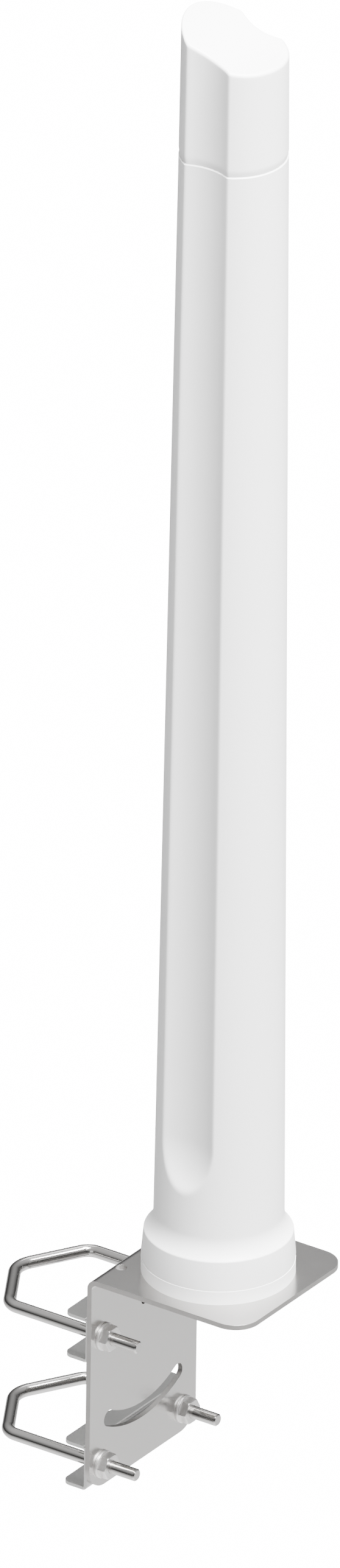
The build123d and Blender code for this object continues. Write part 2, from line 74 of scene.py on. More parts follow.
class Tree:
    """Short calls for adding nodes to a tree and joining them."""

    def __init__(self, tree: bpy.types.NodeTree) -> None:
        """Keep the tree that nodes are added to."""
        self.tree = tree

    def feed(self, socket: bpy.types.NodeSocket, value: Any) -> None:
        """Link a socket to another, or set its value.

        Args:
            socket: The input that is fed.
            value: An output socket, or a plain value.
        """
        if isinstance(value, bpy.types.NodeSocket):
            self.tree.links.new(value, socket)
        else:
            socket.default_value = value

    def add(self, kind: str, feeds: Mapping[Any, Any] | None = None, **settings: Any) -> bpy.types.Node:
        """Add one node.

        Args:
            kind: The node's type name.
            feeds: Values or sockets for its inputs, by name or index.
            settings: Properties of the node itself.

        Returns:
            The new node.
        """
        node = self.tree.nodes.new(kind)
        for key, value in settings.items():
            setattr(node, key, value)
        for key, value in (feeds or {}).items():
            self.feed(node.inputs[key], value)
        return node

    def math(self, operation: str, *values: Any) -> bpy.types.NodeSocket:
        """Add a Math node.

        Args:
            operation: The Math node's operation.
            values: Its operands, as sockets or numbers.

        Returns:
            The node's output.
        """
        node = self.add("ShaderNodeMath", dict(enumerate(values)), operation=operation)
        return node.outputs[0]

    def vector(self, x: Any, y: Any, z: Any) -> bpy.types.NodeSocket:
        """Join three numbers into a vector output."""
        return self.add("ShaderNodeCombineXYZ", {0: x, 1: y, 2: z}).outputs[0]

    def named(self, name: str) -> bpy.types.NodeSocket:
        """Read a float attribute of the geometry by its name."""
        node = self.add("GeometryNodeInputNamedAttribute", {"Name": name}, data_type="FLOAT")
        return node.outputs["Attribute"]


class Kind(Enum):
    """Socket types of a node tree's interface."""

    FLOAT = "NodeSocketFloat"
    WHOLE = "NodeSocketInt"
    VECTOR = "NodeSocketVector"
    COLOUR = "NodeSocketColor"
    GEOMETRY = "NodeSocketGeometry"
    MATERIAL = "NodeSocketMaterial"
    ROTATION = "NodeSocketRotation"


def make_group(
    name: str,
    tree_type: str,
    inputs: Mapping[str, Kind],
    outputs: Mapping[str, Kind],
) -> tuple[Tree, Mapping[str, bpy.types.NodeSocket], bpy.types.Node]:
    """Start a node group with a named interface.

    Args:
        name: The group's name.
        tree_type: Geometry or shader tree type.
        inputs: Input names and their kinds.
        outputs: Output names and their kinds.

    Returns:
        The tree, its inputs as sockets by name, and the node that takes its outputs.
    """
    tree = bpy.data.node_groups.new(name, tree_type)
    for label, kind in inputs.items():
        tree.interface.new_socket(name=label, in_out="INPUT", socket_type=kind.value)
    for label, kind in outputs.items():
        tree.interface.new_socket(name=label, in_out="OUTPUT", socket_type=kind.value)
    build = Tree(tree)
    given = build.add("NodeGroupInput")
    return build, {s.name: s for s in given.outputs if s.name}, build.add("NodeGroupOutput")


def close_tree(
    build: Tree,
    geometry: bpy.types.NodeSocket,
    material: bpy.types.NodeSocket,
    out: bpy.types.Node,
) -> None:
    """End a geometry tree: make its instances real, give them a material and send them out.

    Args:
        build: The tree.
        geometry: The geometry so far.
        material: The material it gets.
        out: The node that takes the tree's outputs.
    """
    real = build.add("GeometryNodeRealizeInstances", {0: geometry})
    done = build.add("GeometryNodeSetMaterial", {"Geometry": real.outputs[0], "Material": material})
    build.feed(out.inputs["Geometry"], done.outputs[0])


# ---- finishes --------------------------------------------------------------------------------------
class Pattern(Enum):
    """How a finish's fine relief lies, as the stretch of the noise along X, Y and Z."""

    EVEN = (1.0, 1.0, 1.0)
    ALONG_X = (0.03, 1.0, 1.0)
    ALONG_Y = (1.0, 0.03, 1.0)


def mottle_group() -> bpy.types.NodeTree:
    """Build the shared group for slow changes of colour and roughness over a surface.

    Returns:
        The shader group.
    """
    build, given, out = make_group(
        "surface_mottle",
        "ShaderNodeTree",
        {
            "Vector": Kind.VECTOR,
            "Scale": Kind.FLOAT,
            "Light": Kind.COLOUR,
            "Dark": Kind.COLOUR,
            "Smooth": Kind.FLOAT,
            "Rough": Kind.FLOAT,
        },
        {"Color": Kind.COLOUR, "Roughness": Kind.FLOAT},
    )
    noise = build.add(
        "ShaderNodeTexNoise", {"Vector": given["Vector"], "Scale": given["Scale"], "Detail": MOTTLE_DETAIL}
    )
    mix = build.add("ShaderNodeMix", data_type="RGBA")
    colours = [s for s in mix.inputs if s.type == "RGBA"]
    build.feed(mix.inputs[0], noise.outputs[0])
    build.feed(colours[0], given["Dark"])
    build.feed(colours[1], given["Light"])
    spread = build.math("SUBTRACT", given["Rough"], given["Smooth"])
    rough = build.math("MULTIPLY_ADD", noise.outputs[0], spread, given["Smooth"])
    build.feed(out.inputs["Color"], next(s for s in mix.outputs if s.type == "RGBA"))
    build.feed(out.inputs["Roughness"], rough)
    return build.tree


def relief_group() -> bpy.types.NodeTree:
    """Build the shared group for fine relief: moulded grain, or lines left by rolling and drawing.

    Returns:
        The shader group.
    """
    build, given, out = make_group(
        "fine_relief",
        "ShaderNodeTree",
        {"Vector": Kind.VECTOR, "Stretch": Kind.VECTOR, "Scale": Kind.FLOAT},
        {"Height": Kind.FLOAT},
    )
    stretched = build.add(
        "ShaderNodeVectorMath", {0: given["Vector"], 1: given["Stretch"]}, operation="MULTIPLY"
    )
    noise = build.add(
        "ShaderNodeTexNoise",
        {
            "Vector": stretched.outputs[0],
            "Scale": given["Scale"],
            "Detail": RELIEF_DETAIL,
            "Roughness": RELIEF_ROUGHNESS,
        },
    )
    build.feed(out.inputs["Height"], noise.outputs[0])
    return build.tree


@dataclass(frozen=True)
class Finish:
    """One surface finish, made into a procedural material."""

    name: str
    light: Colour
    dark: Colour
    smooth: float
    rough: float
    metallic: float = 0.0
    mottle_scale: float = 25.0
    pattern: Pattern = Pattern.EVEN
    relief_scale: float = 900.0
    relief_height: float = 0.00001

    def material(self, mottle: bpy.types.NodeTree, relief: bpy.types.NodeTree) -> bpy.types.Material:
        """Make the material.

        Args:
            mottle: The shared colour and roughness group.
            relief: The shared relief group.

        Returns:
            The finished material.
        """
        material = bpy.data.materials.new(self.name)
        material.use_nodes = True
        build = Tree(material.node_tree)
        shader = next(n for n in material.node_tree.nodes if n.type == "BSDF_PRINCIPLED")
        place = build.add("ShaderNodeTexCoord").outputs["Object"]
        tone = build.add("ShaderNodeGroup", node_tree=mottle)
        values = {
            "Vector": place,
            "Scale": self.mottle_scale,
            "Light": (*self.light, 1.0),
            "Dark": (*self.dark, 1.0),
            "Smooth": self.smooth,
            "Rough": self.rough,
        }
        for label, value in values.items():
            build.feed(tone.inputs[label], value)
        lines = build.add("ShaderNodeGroup", node_tree=relief)
        build.feed(lines.inputs["Vector"], place)
        build.feed(lines.inputs["Stretch"], self.pattern.value)
        build.feed(lines.inputs["Scale"], self.relief_scale)
        bump = build.add(
            "ShaderNodeBump",
            {"Height": lines.outputs["Height"], "Distance": self.relief_height, "Strength": 1.0},
        )
        build.feed(shader.inputs["Base Color"], tone.outputs["Color"])
        build.feed(shader.inputs["Roughness"], tone.outputs["Roughness"])
        build.feed(shader.inputs["Normal"], bump.outputs["Normal"])
        shader.inputs["Metallic"].default_value = self.metallic
        return material


COVER_WHITE = Finish(
    "cover_white", (0.82, 0.82, 0.82), (0.79, 0.79, 0.79), 0.38, 0.46, relief_height=0.000004
)
BASE_WHITE = Finish(
    "base_white", (0.83, 0.83, 0.83), (0.80, 0.80, 0.80), 0.36, 0.44, relief_height=0.000004
)
SHEET_STEEL = Finish(
    "sheet_steel", (0.56, 0.55, 0.54), (0.52, 0.51, 0.50), 0.18, 0.24, 1.0,
    pattern=Pattern.ALONG_Y, relief_scale=1400.0, relief_height=0.0000015,
)
SHEARED_EDGE = Finish(
    "sheared_edge", (0.42, 0.41, 0.40), (0.33, 0.32, 0.31), 0.36, 0.48, 1.0,
    mottle_scale=120.0, relief_scale=1800.0, relief_height=0.00001,
)
SADDLE_STEEL = Finish(
    "saddle_steel", (0.58, 0.58, 0.57), (0.52, 0.52, 0.51), 0.20, 0.28, 1.0,
    pattern=Pattern.ALONG_Y, relief_scale=1400.0, relief_height=0.000002,
)
DRAWN_ROD = Finish(
    "drawn_rod", (0.54, 0.53, 0.52), (0.48, 0.47, 0.46), 0.11, 0.17, 1.0,
    pattern=Pattern.ALONG_X, relief_scale=1600.0, relief_height=0.000001,
)
NUT_STEEL = Finish(
    "nut_steel", (0.74, 0.73, 0.72), (0.66, 0.65, 0.64), 0.26, 0.34, 1.0,
    mottle_scale=140.0, relief_scale=2200.0, relief_height=0.000002,
)
WASHER_STEEL = Finish(
    "washer_steel", (0.84, 0.83, 0.82), (0.78, 0.77, 0.76), 0.34, 0.42, 1.0,
    mottle_scale=140.0, relief_scale=2200.0, relief_height=0.000003,
)
NICKEL = Finish(
    "nickel_plate", (0.70, 0.68, 0.63), (0.64, 0.62, 0.57), 0.14, 0.22, 1.0,
    mottle_scale=160.0, relief_scale=2400.0, relief_height=0.000001,
)
BRASS = Finish("turned_brass", (0.74, 0.55, 0.26), (0.66, 0.48, 0.22), 0.22, 0.32, 1.0, mottle_scale=160.0)
COPPER = Finish("bare_copper", (0.74, 0.40, 0.26), (0.62, 0.32, 0.20), 0.26, 0.38, 1.0, mottle_scale=90.0)
RUBBER = Finish(
    "black_rubber", (0.035, 0.035, 0.035), (0.02, 0.02, 0.02), 0.62, 0.75, mottle_scale=140.0
)
BEAD_WHITE = Finish(
    "bead_white", (0.80, 0.80, 0.78), (0.74, 0.74, 0.72), 0.45, 0.55, mottle_scale=160.0
)
BOARD_GREEN = Finish(
    "board_green", (0.08, 0.25, 0.12), (0.05, 0.19, 0.09), 0.30, 0.42, mottle_scale=60.0
)
SOCKET_BLACK = Finish(
    "socket_black", (0.05, 0.05, 0.05), (0.035, 0.035, 0.035), 0.42, 0.55, mottle_scale=60.0
)
FOAM_WHITE = Finish(
    "foam_white", (0.80, 0.80, 0.77), (0.70, 0.70, 0.67), 0.80, 0.92,
    mottle_scale=500.0, relief_scale=1200.0, relief_height=0.0003,
)
FINISHES = (
    COVER_WHITE, BASE_WHITE, SHEET_STEEL, SHEARED_EDGE, SADDLE_STEEL, DRAWN_ROD, NUT_STEEL, WASHER_STEEL,
    NICKEL, BRASS, COPPER, RUBBER, BEAD_WHITE, BOARD_GREEN, SOCKET_BLACK, FOAM_WHITE,
)


class Palette:
    """Every material of the object, by its finish."""

    def __init__(self) -> None:
        """Build the shared groups once and each finish's material from them."""
        mottle = mottle_group()
        relief = relief_group()
        self.made = {finish: finish.material(mottle, relief) for finish in FINISHES}

    def __getitem__(self, finish: Finish) -> bpy.types.Material:
        """Return a finish's material."""
        return self.made[finish]


# ---- mesh helpers ----------------------------------------------------------------------------------
def place_object(name: str, mesh: bpy.types.Mesh) -> bpy.types.Object:
    """Put a mesh in the scene at the origin, as an object of its own.

    Args:
        name: The object's name.
        mesh: The mesh it shows.

    Returns:
        The new object.
    """
    piece = bpy.data.objects.new(name, mesh)
    bpy.context.scene.collection.objects.link(piece)
    return piece


def shade(mesh: bpy.types.Mesh) -> None:
    """Shade a mesh smooth, but for its sharp edges."""
    mesh.polygons.foreach_set("use_smooth", [True] * len(mesh.polygons))
    mesh.set_sharp_from_angle(angle=SMOOTH_ANGLE)


def evaluated_mesh(piece: bpy.types.Object) -> bpy.types.Mesh:
    """Return a plain mesh of an object with its modifiers applied."""
    graph = bpy.context.evaluated_depsgraph_get()
    return bpy.data.meshes.new_from_object(piece.evaluated_get(graph))


def grow(
    name: str, seed: bpy.types.Mesh, tree: bpy.types.NodeTree, values: Mapping[str, Any]
) -> bpy.types.Object:
    """Run a Geometry Nodes tree on a seed mesh and keep the result as a plain mesh.

    Args:
        name: The piece's name.
        seed: The mesh that the tree starts from.
        tree: The tree.
        values: Its inputs, by name.

    Returns:
        The finished object, with no modifier left on it.
    """
    piece = place_object(name, seed)
    modifier = piece.modifiers.new("grow", "NODES")
    modifier.node_group = tree
    for item in tree.interface.items_tree:
        if item.in_out == "INPUT" and item.name in values:
            modifier[item.identifier] = values[item.name]
    mesh = evaluated_mesh(piece)
    piece.modifiers.clear()
    piece.data = mesh
    shade(mesh)
    return piece


def softened(node: str, name: str, edge: float) -> bpy.types.Object:
    """Copy a CAD node as one welded mesh and round its edges a little.

    Args:
        node: The CAD node.
        name: The new piece's name.
        edge: Width of the rounding.

    Returns:
        The new piece.
    """
    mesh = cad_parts[node].data.copy()
    work = bmesh.new()
    work.from_mesh(mesh)
    bmesh.ops.remove_doubles(work, verts=work.verts, dist=WELD)
    work.to_mesh(mesh)
    work.free()
    if "custom_normal" in mesh.attributes:
        mesh.attributes.remove(mesh.attributes["custom_normal"])
    mesh.polygons.foreach_set("use_smooth", [True] * len(mesh.polygons))
    piece = place_object(name, mesh)
    bevel = piece.modifiers.new("edge", "BEVEL")
    bevel.width = edge
    bevel.segments = EDGE_STEPS
    bevel.limit_method = "ANGLE"
    bevel.angle_limit = SMOOTH_ANGLE
    flats = piece.modifiers.new("flats", "WEIGHTED_NORMAL")
    flats.mode = "FACE_AREA"
    flats.weight = FLAT_WEIGHT
    rounded = evaluated_mesh(piece)
    piece.modifiers.clear()
    piece.data = rounded
    return piece


def dress(piece: bpy.types.Object, *materials: bpy.types.Material) -> None:
    """Give a piece its materials in place of any it has.

    Args:
        piece: The piece that is dressed.
        materials: Its materials, in slot order.
    """
    piece.data.materials.clear()
    for material in materials:
        piece.data.materials.append(material)


def settle(piece: bpy.types.Object, body: str, slot: str, *nodes: str) -> None:
    """Hang a finished piece on its body and hide the CAD nodes it stands for.

    Args:
        piece: The finished piece.
        body: The body it rides on.
        slot: The name of its material slot; not used.
        nodes: The CAD nodes it replaces, if any.
    """
    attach(piece, body)
    if nodes:
        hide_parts(*nodes)
    LOG.info("%s: %d faces on %s", piece.name, len(piece.data.polygons), body)


# ---- cover -----------------------------------------------------------------------------------------
@dataclass(frozen=True)
class Row:
    """One ring of points round the antenna's axis, before the flutes are pressed into it."""

    wall: float
    height: float
    inset: float = 0.0
    shrink: float = 1.0
    lift: float = 0.0


COVER_INPUTS = {
    "Geometry": Kind.GEOMETRY,
    "Axis X": Kind.FLOAT,
    "Seam Height": Kind.FLOAT,
    "Seam Radius": Kind.FLOAT,
    "Taper": Kind.FLOAT,
    "Flute Radius Ratio": Kind.FLOAT,
    "Flute Offset Ratio": Kind.FLOAT,
    "Flute Start": Kind.FLOAT,
    "Flute End Length": Kind.FLOAT,
    "Edge Rounding": Kind.FLOAT,
    "Cap Low X": Kind.FLOAT,
    "Cap Radius": Kind.FLOAT,
    "Material": Kind.MATERIAL,
}
OUT_OF_REACH = 1.0


def cover_tree() -> bpy.types.NodeTree:
    """Build the tree that rolls a flat grid of turns and heights into the fluted cover.

    Each point comes in as (turn, wall radius, height). Two tapered hollows, one on each side, are pressed
    in with rounded edges, and points marked to lift follow the cap's hollow top.

    Returns:
        The Geometry Nodes tree.
    """
    build, given, out = make_group(
        "fluted_cover", "GeometryNodeTree", COVER_INPUTS, {"Geometry": Kind.GEOMETRY}
    )
    unrolled = build.add(
        "ShaderNodeSeparateXYZ", {0: build.add("GeometryNodeInputPosition").outputs[0]}
    ).outputs
    turn, wall, height = unrolled[0], unrolled[1], unrolled[2]
    across = build.math("COSINE", turn)
    aside = build.math("SINE", turn)

    level = build.math("MAXIMUM", height, given["Flute Start"])
    drop = build.math("SUBTRACT", given["Seam Height"], level)
    tube = build.math("MULTIPLY_ADD", drop, given["Taper"], given["Seam Radius"])
    below = build.math("SUBTRACT", given["Flute Start"], height)
    share = build.math("DIVIDE", below, given["Flute End Length"])
    share = build.math("MINIMUM", build.math("MAXIMUM", share, 0.0), 1.0)
    closing = build.math("SQRT", build.math("SUBTRACT", 1.0, build.math("MULTIPLY", share, share)))
    hollow = build.math("MULTIPLY", build.math("MULTIPLY", tube, given["Flute Radius Ratio"]), closing)
    centre = build.math("MULTIPLY", tube, given["Flute Offset Ratio"])

    reach = build.math("MULTIPLY", centre, build.math("ABSOLUTE", aside))
    miss = build.math("MULTIPLY", centre, across)
    left = build.math(
        "SUBTRACT", build.math("MULTIPLY", hollow, hollow), build.math("MULTIPLY", miss, miss)
    )
    missed = build.math("LESS_THAN", left, 0.0)
    depth = build.math("SUBTRACT", reach, build.math("SQRT", build.math("MAXIMUM", left, 0.0)))
    depth = build.math("MULTIPLY_ADD", missed, OUT_OF_REACH, depth)
    radius = build.math("SMOOTH_MIN", wall, depth, given["Edge Rounding"])
    radius = build.math("SUBTRACT", radius, build.named("inset"))
    radius = build.math("MULTIPLY", radius, build.named("shrink"))

    x = build.math("MULTIPLY", radius, across)
    y = build.math("MULTIPLY", radius, aside)
    short = build.math("MINIMUM", build.math("SUBTRACT", x, given["Cap Low X"]), 0.0)
    squares = build.math(
        "SUBTRACT",
        build.math("MULTIPLY", given["Cap Radius"], given["Cap Radius"]),
        build.math("MULTIPLY", short, short),
    )
    rise = build.math("SUBTRACT", given["Cap Radius"], build.math("SQRT", squares))
    z = build.math("MULTIPLY_ADD", rise, build.named("lift"), height)

    rolled = build.vector(build.math("ADD", x, given["Axis X"]), y, z)
    moved = build.add("GeometryNodeSetPosition", {"Geometry": given["Geometry"], "Position": rolled})
    welded = build.add("GeometryNodeMergeByDistance", {"Geometry": moved.outputs[0], "Distance": WELD})
    close_tree(build, welded.outputs[0], given["Material"], out)
    return build.tree


def rolled_seed(name: str, rows: Sequence[Row], turns: Sequence[float], closed: bool) -> bpy.types.Mesh:
    """Lay rows out as a flat grid whose points hold turn, wall radius and height.

    Args:
        name: The mesh's name.
        rows: The rings in order, outer ones upwards.
        turns: The angles of a ring's points.
        closed: True if the last row joins the first.

    Returns:
        The seed mesh, with the rows' other values as attributes.
    """
    count = len(turns)
    points = [(turn, row.wall, row.height) for row in rows for turn in turns]
    faces = []
    for index in range(len(rows) if closed else len(rows) - 1):
        low = index * count
        high = (index + 1) % len(rows) * count
        for step in range(count):
            after = (step + 1) % count
            faces.append((low + step, low + after, high + after, high + step))
    mesh = bpy.data.meshes.new(name)
    mesh.from_pydata(points, [], faces)
    for label in ("inset", "shrink", "lift"):
        layer = mesh.attributes.new(label, "FLOAT", "POINT")
        layer.data.foreach_set("value", [getattr(row, label) for row in rows for _ in turns])
    return mesh


def spaced(start: float, end: float, steps: int) -> list[float]:
    """Return evenly spaced values from start up to, but not including, end."""
    return [start + (end - start) * index / steps for index in range(steps)]


@dataclass
class Cover:
    """The white radome and its cap."""

    palette: Palette
    collar_h: float = 17.7 * MM
    collar_top_r: float = 41.3 * MM
    collar_rounding: float = 0.6 * MM
    neck_h: float = 12.2 * MM
    taper: float = 0.0092
    wall: float = 2.5 * MM
    bore_r: float = 39.0 * MM
    bore_h: float = 13.9 * MM
    flute_radius_ratio: float = 1.04
    flute_offset_ratio: float = 1.82
    flute_start: float = 172.0 * MM
    flute_end_length: float = 46.0 * MM
    flute_rounding: float = 2.4 * MM
    flute_edge: float = 27.4
    flute_edge_reach: float = 4.0
    edge_turn_steps: int = 20
    lobe_turn_steps: int = 24
    seam_bevel: float = 0.8 * MM
    foot_bevel: float = 0.35 * MM
    cap_step: float = 0.6 * MM
    step_h: float = 3.0 * MM
    scoop_share: float = 0.7
    corner_rows: int = 6
    sweep_rows: int = 20
    neck_rows: int = 8
    scoop_rows: int = 56
    tube_rows: int = 24
    inner_tube_rows: int = 8
    inner_scoop_rows: int = 16
    inner_neck_rows: int = 3
    ceiling_rows: int = 5
    inner_cap_rows: int = 6
    cap_rows: int = 40
    rim_rows: int = 8
    top_rows: int = 24
    cap_low_x: float = 34.0 * MM
    cap_low_h: float = 61.2 * MM
    cap_radius: float = 105.0 * MM
    cap_rim: float = 2.0 * MM
    cap_skin: float = 3.0 * MM
    spigot_h: float = 10.0 * MM
    spigot_inset: float = 2.65 * MM
    spigot_wall: float = 2.2 * MM

    def __post_init__(self) -> None:
        """Read the cover's place and ends from the frame, and build its tree."""
        low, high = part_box("radome")
        self.axis_x = (low.x + high.x) / 2
        self.base_r = (high.x - low.x) / 2
        self.seat_z = low.z
        self.seam_z = high.z
        cap_low, cap_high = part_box("top_cap")
        self.seam_r = (cap_high.x - cap_low.x) / 2
        self.cap_low_z = self.seam_z + self.cap_low_h
        self.tree = cover_tree()
        self.turns = self.ring_turns()

    def tube_r(self, height: float) -> float:
        """Return the tapered tube's outside radius at a height."""
        return self.seam_r + self.taper * (self.seam_z - height)

    def ring_turns(self) -> list[float]:
        """Spread a ring's points, close together over the flutes' rounded edges.

        Returns:
            The angles of one full turn.
        """
        edge_low = self.flute_edge - self.flute_edge_reach
        edge_high = self.flute_edge + self.flute_edge_reach
        quarter = spaced(0, edge_low, self.edge_turn_steps)
        quarter += spaced(edge_low, edge_high, self.edge_turn_steps)
        quarter += spaced(edge_high, QUARTER_TURN, self.lobe_turn_steps)
        quarter.append(QUARTER_TURN)
        turns = set()
        for side in FLUTE_SIDES:
            for angle in quarter:
                turns.add(round((side + angle) % FULL_TURN, TURN_DIGITS))
                turns.add(round((side - angle) % FULL_TURN, TURN_DIGITS))
        return [math.radians(turn) for turn in sorted(turns)]

    def grown(self, name: str, rows: Sequence[Row], closed: bool, finish: Finish) -> bpy.types.Object:
        """Grow a piece of the cover from its rows.

        Args:
            name: The piece's name.
            rows: Its rings.
            closed: True if the rings form a loop, with no poles.
            finish: Its finish.

        Returns:
            The finished piece.
        """
        values = {
            "Axis X": self.axis_x,
            "Seam Height": self.seam_z,
            "Seam Radius": self.seam_r,
            "Taper": self.taper,
            "Flute Radius Ratio": self.flute_radius_ratio,
            "Flute Offset Ratio": self.flute_offset_ratio,
            "Flute Start": self.flute_start,
            "Flute End Length": self.flute_end_length,
            "Edge Rounding": self.flute_rounding,
            "Cap Low X": self.cap_low_x,
            "Cap Radius": self.cap_radius,
            "Material": self.palette[finish],
        }
        return grow(name, rolled_seed(name, rows, self.turns, closed), self.tree, values)

    def shoulder_rows(self) -> list[Row]:
        """Draw the collar's rounded top edge and the concave sweep above it.

        Returns:
            The rows from the collar's wall up to the neck.
        """
        collar_z = self.seat_z + self.collar_h
        neck_z = collar_z + self.neck_h
        neck_r = self.tube_r(neck_z)
        width = self.collar_top_r - neck_r
        sweep = (self.neck_h ** 2 + width ** 2) / (2 * width)
        turn = math.asin(self.neck_h / sweep)

        def on_sweep(angle: float) -> Vector:
            """Return radius and height on the sweep, by the angle left to its top."""
            return Vector((neck_r + sweep * (1 - math.cos(angle)), neck_z - sweep * math.sin(angle)))

        corner = on_sweep(turn)
        start = corner - Vector((0, self.collar_rounding))
        end_turn = turn - self.collar_rounding / sweep
        end = on_sweep(end_turn)
        rows = []
        for share in spaced(0, 1, self.corner_rows):
            point = start.lerp(corner, share).lerp(corner.lerp(end, share), share)
            rows.append(Row(point.x, point.y))
        for angle in spaced(end_turn, 0, self.sweep_rows):
            point = on_sweep(angle)
            rows.append(Row(point.x, point.y))
        rows.append(Row(neck_r, neck_z))
        return rows

    def make_radome(self) -> bpy.types.Object:
        """Make the one-piece collar, shoulder and fluted tube, with its inside wall.

        Returns:
            The radome.
        """
        rows = [
            Row(self.base_r - self.foot_bevel, self.seat_z),
            Row(self.base_r, self.seat_z + self.step_h),
        ]
        rows += self.shoulder_rows()
        neck_z = rows[-1].height
        scoop_low = self.flute_start - self.flute_end_length * self.scoop_share
        heights = spaced(neck_z, scoop_low, self.neck_rows)[1:]
        heights += spaced(scoop_low, self.flute_start, self.scoop_rows)
        heights += spaced(self.flute_start, self.seam_z - self.seam_bevel, self.tube_rows)
        heights.append(self.seam_z - self.seam_bevel)
        rows += [Row(self.tube_r(height), height) for height in heights]
        rows.append(Row(self.seam_r, self.seam_z, inset=self.seam_bevel))
        inner = [self.seam_z]
        inner += spaced(self.seam_z - self.seam_bevel, self.flute_start, self.inner_tube_rows)
        inner += spaced(self.flute_start, scoop_low, self.inner_scoop_rows)
        inner += spaced(scoop_low, neck_z, self.inner_neck_rows) + [neck_z]
        rows += [Row(self.tube_r(height), height, inset=self.wall) for height in inner]
        rows.append(Row(self.bore_r, self.seat_z + self.bore_h))
        rows.append(Row(self.bore_r, self.seat_z))
        return self.grown("radome_cover", rows, True, COVER_WHITE)

    def make_cap(self) -> bpy.types.Object:
        """Make the cap with its hollow top, rounded rim and spigot.

        Returns:
            The cap.
        """
        ceiling = self.cap_low_z - self.cap_skin
        hollow = self.spigot_inset + self.spigot_wall
        low = self.seam_z - self.spigot_h
        wall = self.tube_r(self.cap_low_z)
        rows = [Row(wall, ceiling, hollow, share, 1.0) for share in spaced(0, 1, self.ceiling_rows)]
        rows += [
            Row(self.tube_r(self.seam_z + share * (ceiling - self.seam_z)),
                self.seam_z + share * (ceiling - self.seam_z), hollow, 1.0, share)
            for share in spaced(1, 0, self.inner_cap_rows)
        ]
        rows += [
            Row(self.seam_r, self.seam_z, hollow),
            Row(self.seam_r, low, hollow),
            Row(self.seam_r, low, self.spigot_inset),
            Row(self.seam_r, self.seam_z, self.spigot_inset),
            Row(self.seam_r, self.seam_z, self.cap_step),
        ]
        rim_low = self.cap_low_z - self.cap_rim
        for share in spaced(0, 1, self.cap_rows)[1:]:
            height = self.seam_z + share * (rim_low - self.seam_z)
            fade = max(0.0, 1 - (height - self.seam_z) / self.step_h)
            rows.append(Row(self.tube_r(height), height, self.cap_step * fade, lift=share))
        for angle in spaced(0, math.pi / 2, self.rim_rows):
            inset = self.cap_rim * (1 - math.cos(angle))
            rows.append(Row(wall, rim_low + self.cap_rim * math.sin(angle), inset, 1.0, 1.0))
        top = spaced(1, 0, self.top_rows)
        rows += [Row(wall, self.cap_low_z, self.cap_rim, share, 1.0) for share in top]
        rows.append(Row(wall, self.cap_low_z, self.cap_rim, 0.0, 1.0))
        return self.grown("cap_cover", rows, False, COVER_WHITE)

    def build(self) -> None:
        """Make both pieces and settle them on the frame."""
        settle(self.make_radome(), ROOT_BODY, "radome_white", "radome")
        settle(self.make_cap(), ROOT_BODY, "radome_white", "top_cap")
        plug = softened("base_plug", "base_ring", self.foot_bevel)
        dress(plug, self.palette[BASE_WHITE])
        settle(plug, ROOT_BODY, "base_white", "base_plug")


# ---- bracket ---------------------------------------------------------------------------------------
@dataclass
class Bracket:
    """The folded plate and the two saddles behind it."""

    palette: Palette
    sheet_edge: float = 0.25 * MM
    bend: float = 7.0 * MM
    facing: float = 0.6

    def make_plate(self) -> bpy.types.Object:
        """Make the plate, its rolled faces and its sheared edges in finishes of their own.

        Returns:
            The plate.
        """
        piece = softened("l_bracket", "bracket_plate", self.sheet_edge)
        dress(piece, self.palette[SHEET_STEEL], self.palette[SHEARED_EDGE])
        low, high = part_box("l_bracket")
        leaf_top = high.z - self.bend
        bend_end = low.x + self.bend
        for face in piece.data.polygons:
            if face.center.z < leaf_top:
                rolled = abs(face.normal.x) > self.facing
            elif face.center.x > bend_end:
                rolled = abs(face.normal.z) > self.facing
            else:
                rolled = abs(face.normal.y) < self.facing
            face.material_index = 0 if rolled else 1
        return piece

    def build(self) -> None:
        """Make the plate and both saddles and settle them on the frame."""
        settle(self.make_plate(), ROOT_BODY, "sheet_steel", "l_bracket")
        for level in LEVELS:
            saddle = softened(f"{level}_saddle", f"{level}_saddle_channel", self.sheet_edge)
            dress(saddle, self.palette[SADDLE_STEEL])
            settle(saddle, ROOT_BODY, "saddle_steel", f"{level}_saddle")


# ---- clamps ----------------------------------------------------------------------------------------
def bolt_tree() -> bpy.types.NodeTree:
    """Build the tree that bends a rod along a path, with its corners rounded and its tips chamfered.

    Returns:
        The Geometry Nodes tree. Path points carry a bend radius and a share of the rod's girth.
    """
    build, given, out = make_group(
        "bent_rod",
        "GeometryNodeTree",
        {
            "Geometry": Kind.GEOMETRY,
            "Rod Radius": Kind.FLOAT,
            "Bend Steps": Kind.WHOLE,
            "Round Steps": Kind.WHOLE,
            "Material": Kind.MATERIAL,
        },
        {"Geometry": Kind.GEOMETRY},
    )
    curve = build.add("GeometryNodeMeshToCurve", {"Mesh": given["Geometry"]})
    bent = build.add(
        "GeometryNodeFilletCurve",
        {"Curve": curve.outputs[0], "Count": given["Bend Steps"], "Radius": build.named("bend")},
        mode="POLY",
    )
    circle = build.add(
        "GeometryNodeCurvePrimitiveCircle",
        {"Resolution": given["Round Steps"], "Radius": given["Rod Radius"]},
    )
    rod = build.add(
        "GeometryNodeCurveToMesh",
        {
            "Curve": bent.outputs[0],
            "Profile Curve": circle.outputs[0],
            "Scale": build.named("girth"),
            "Fill Caps": True,
        },
    )
    close_tree(build, rod.outputs[0], given["Material"], out)
    return build.tree


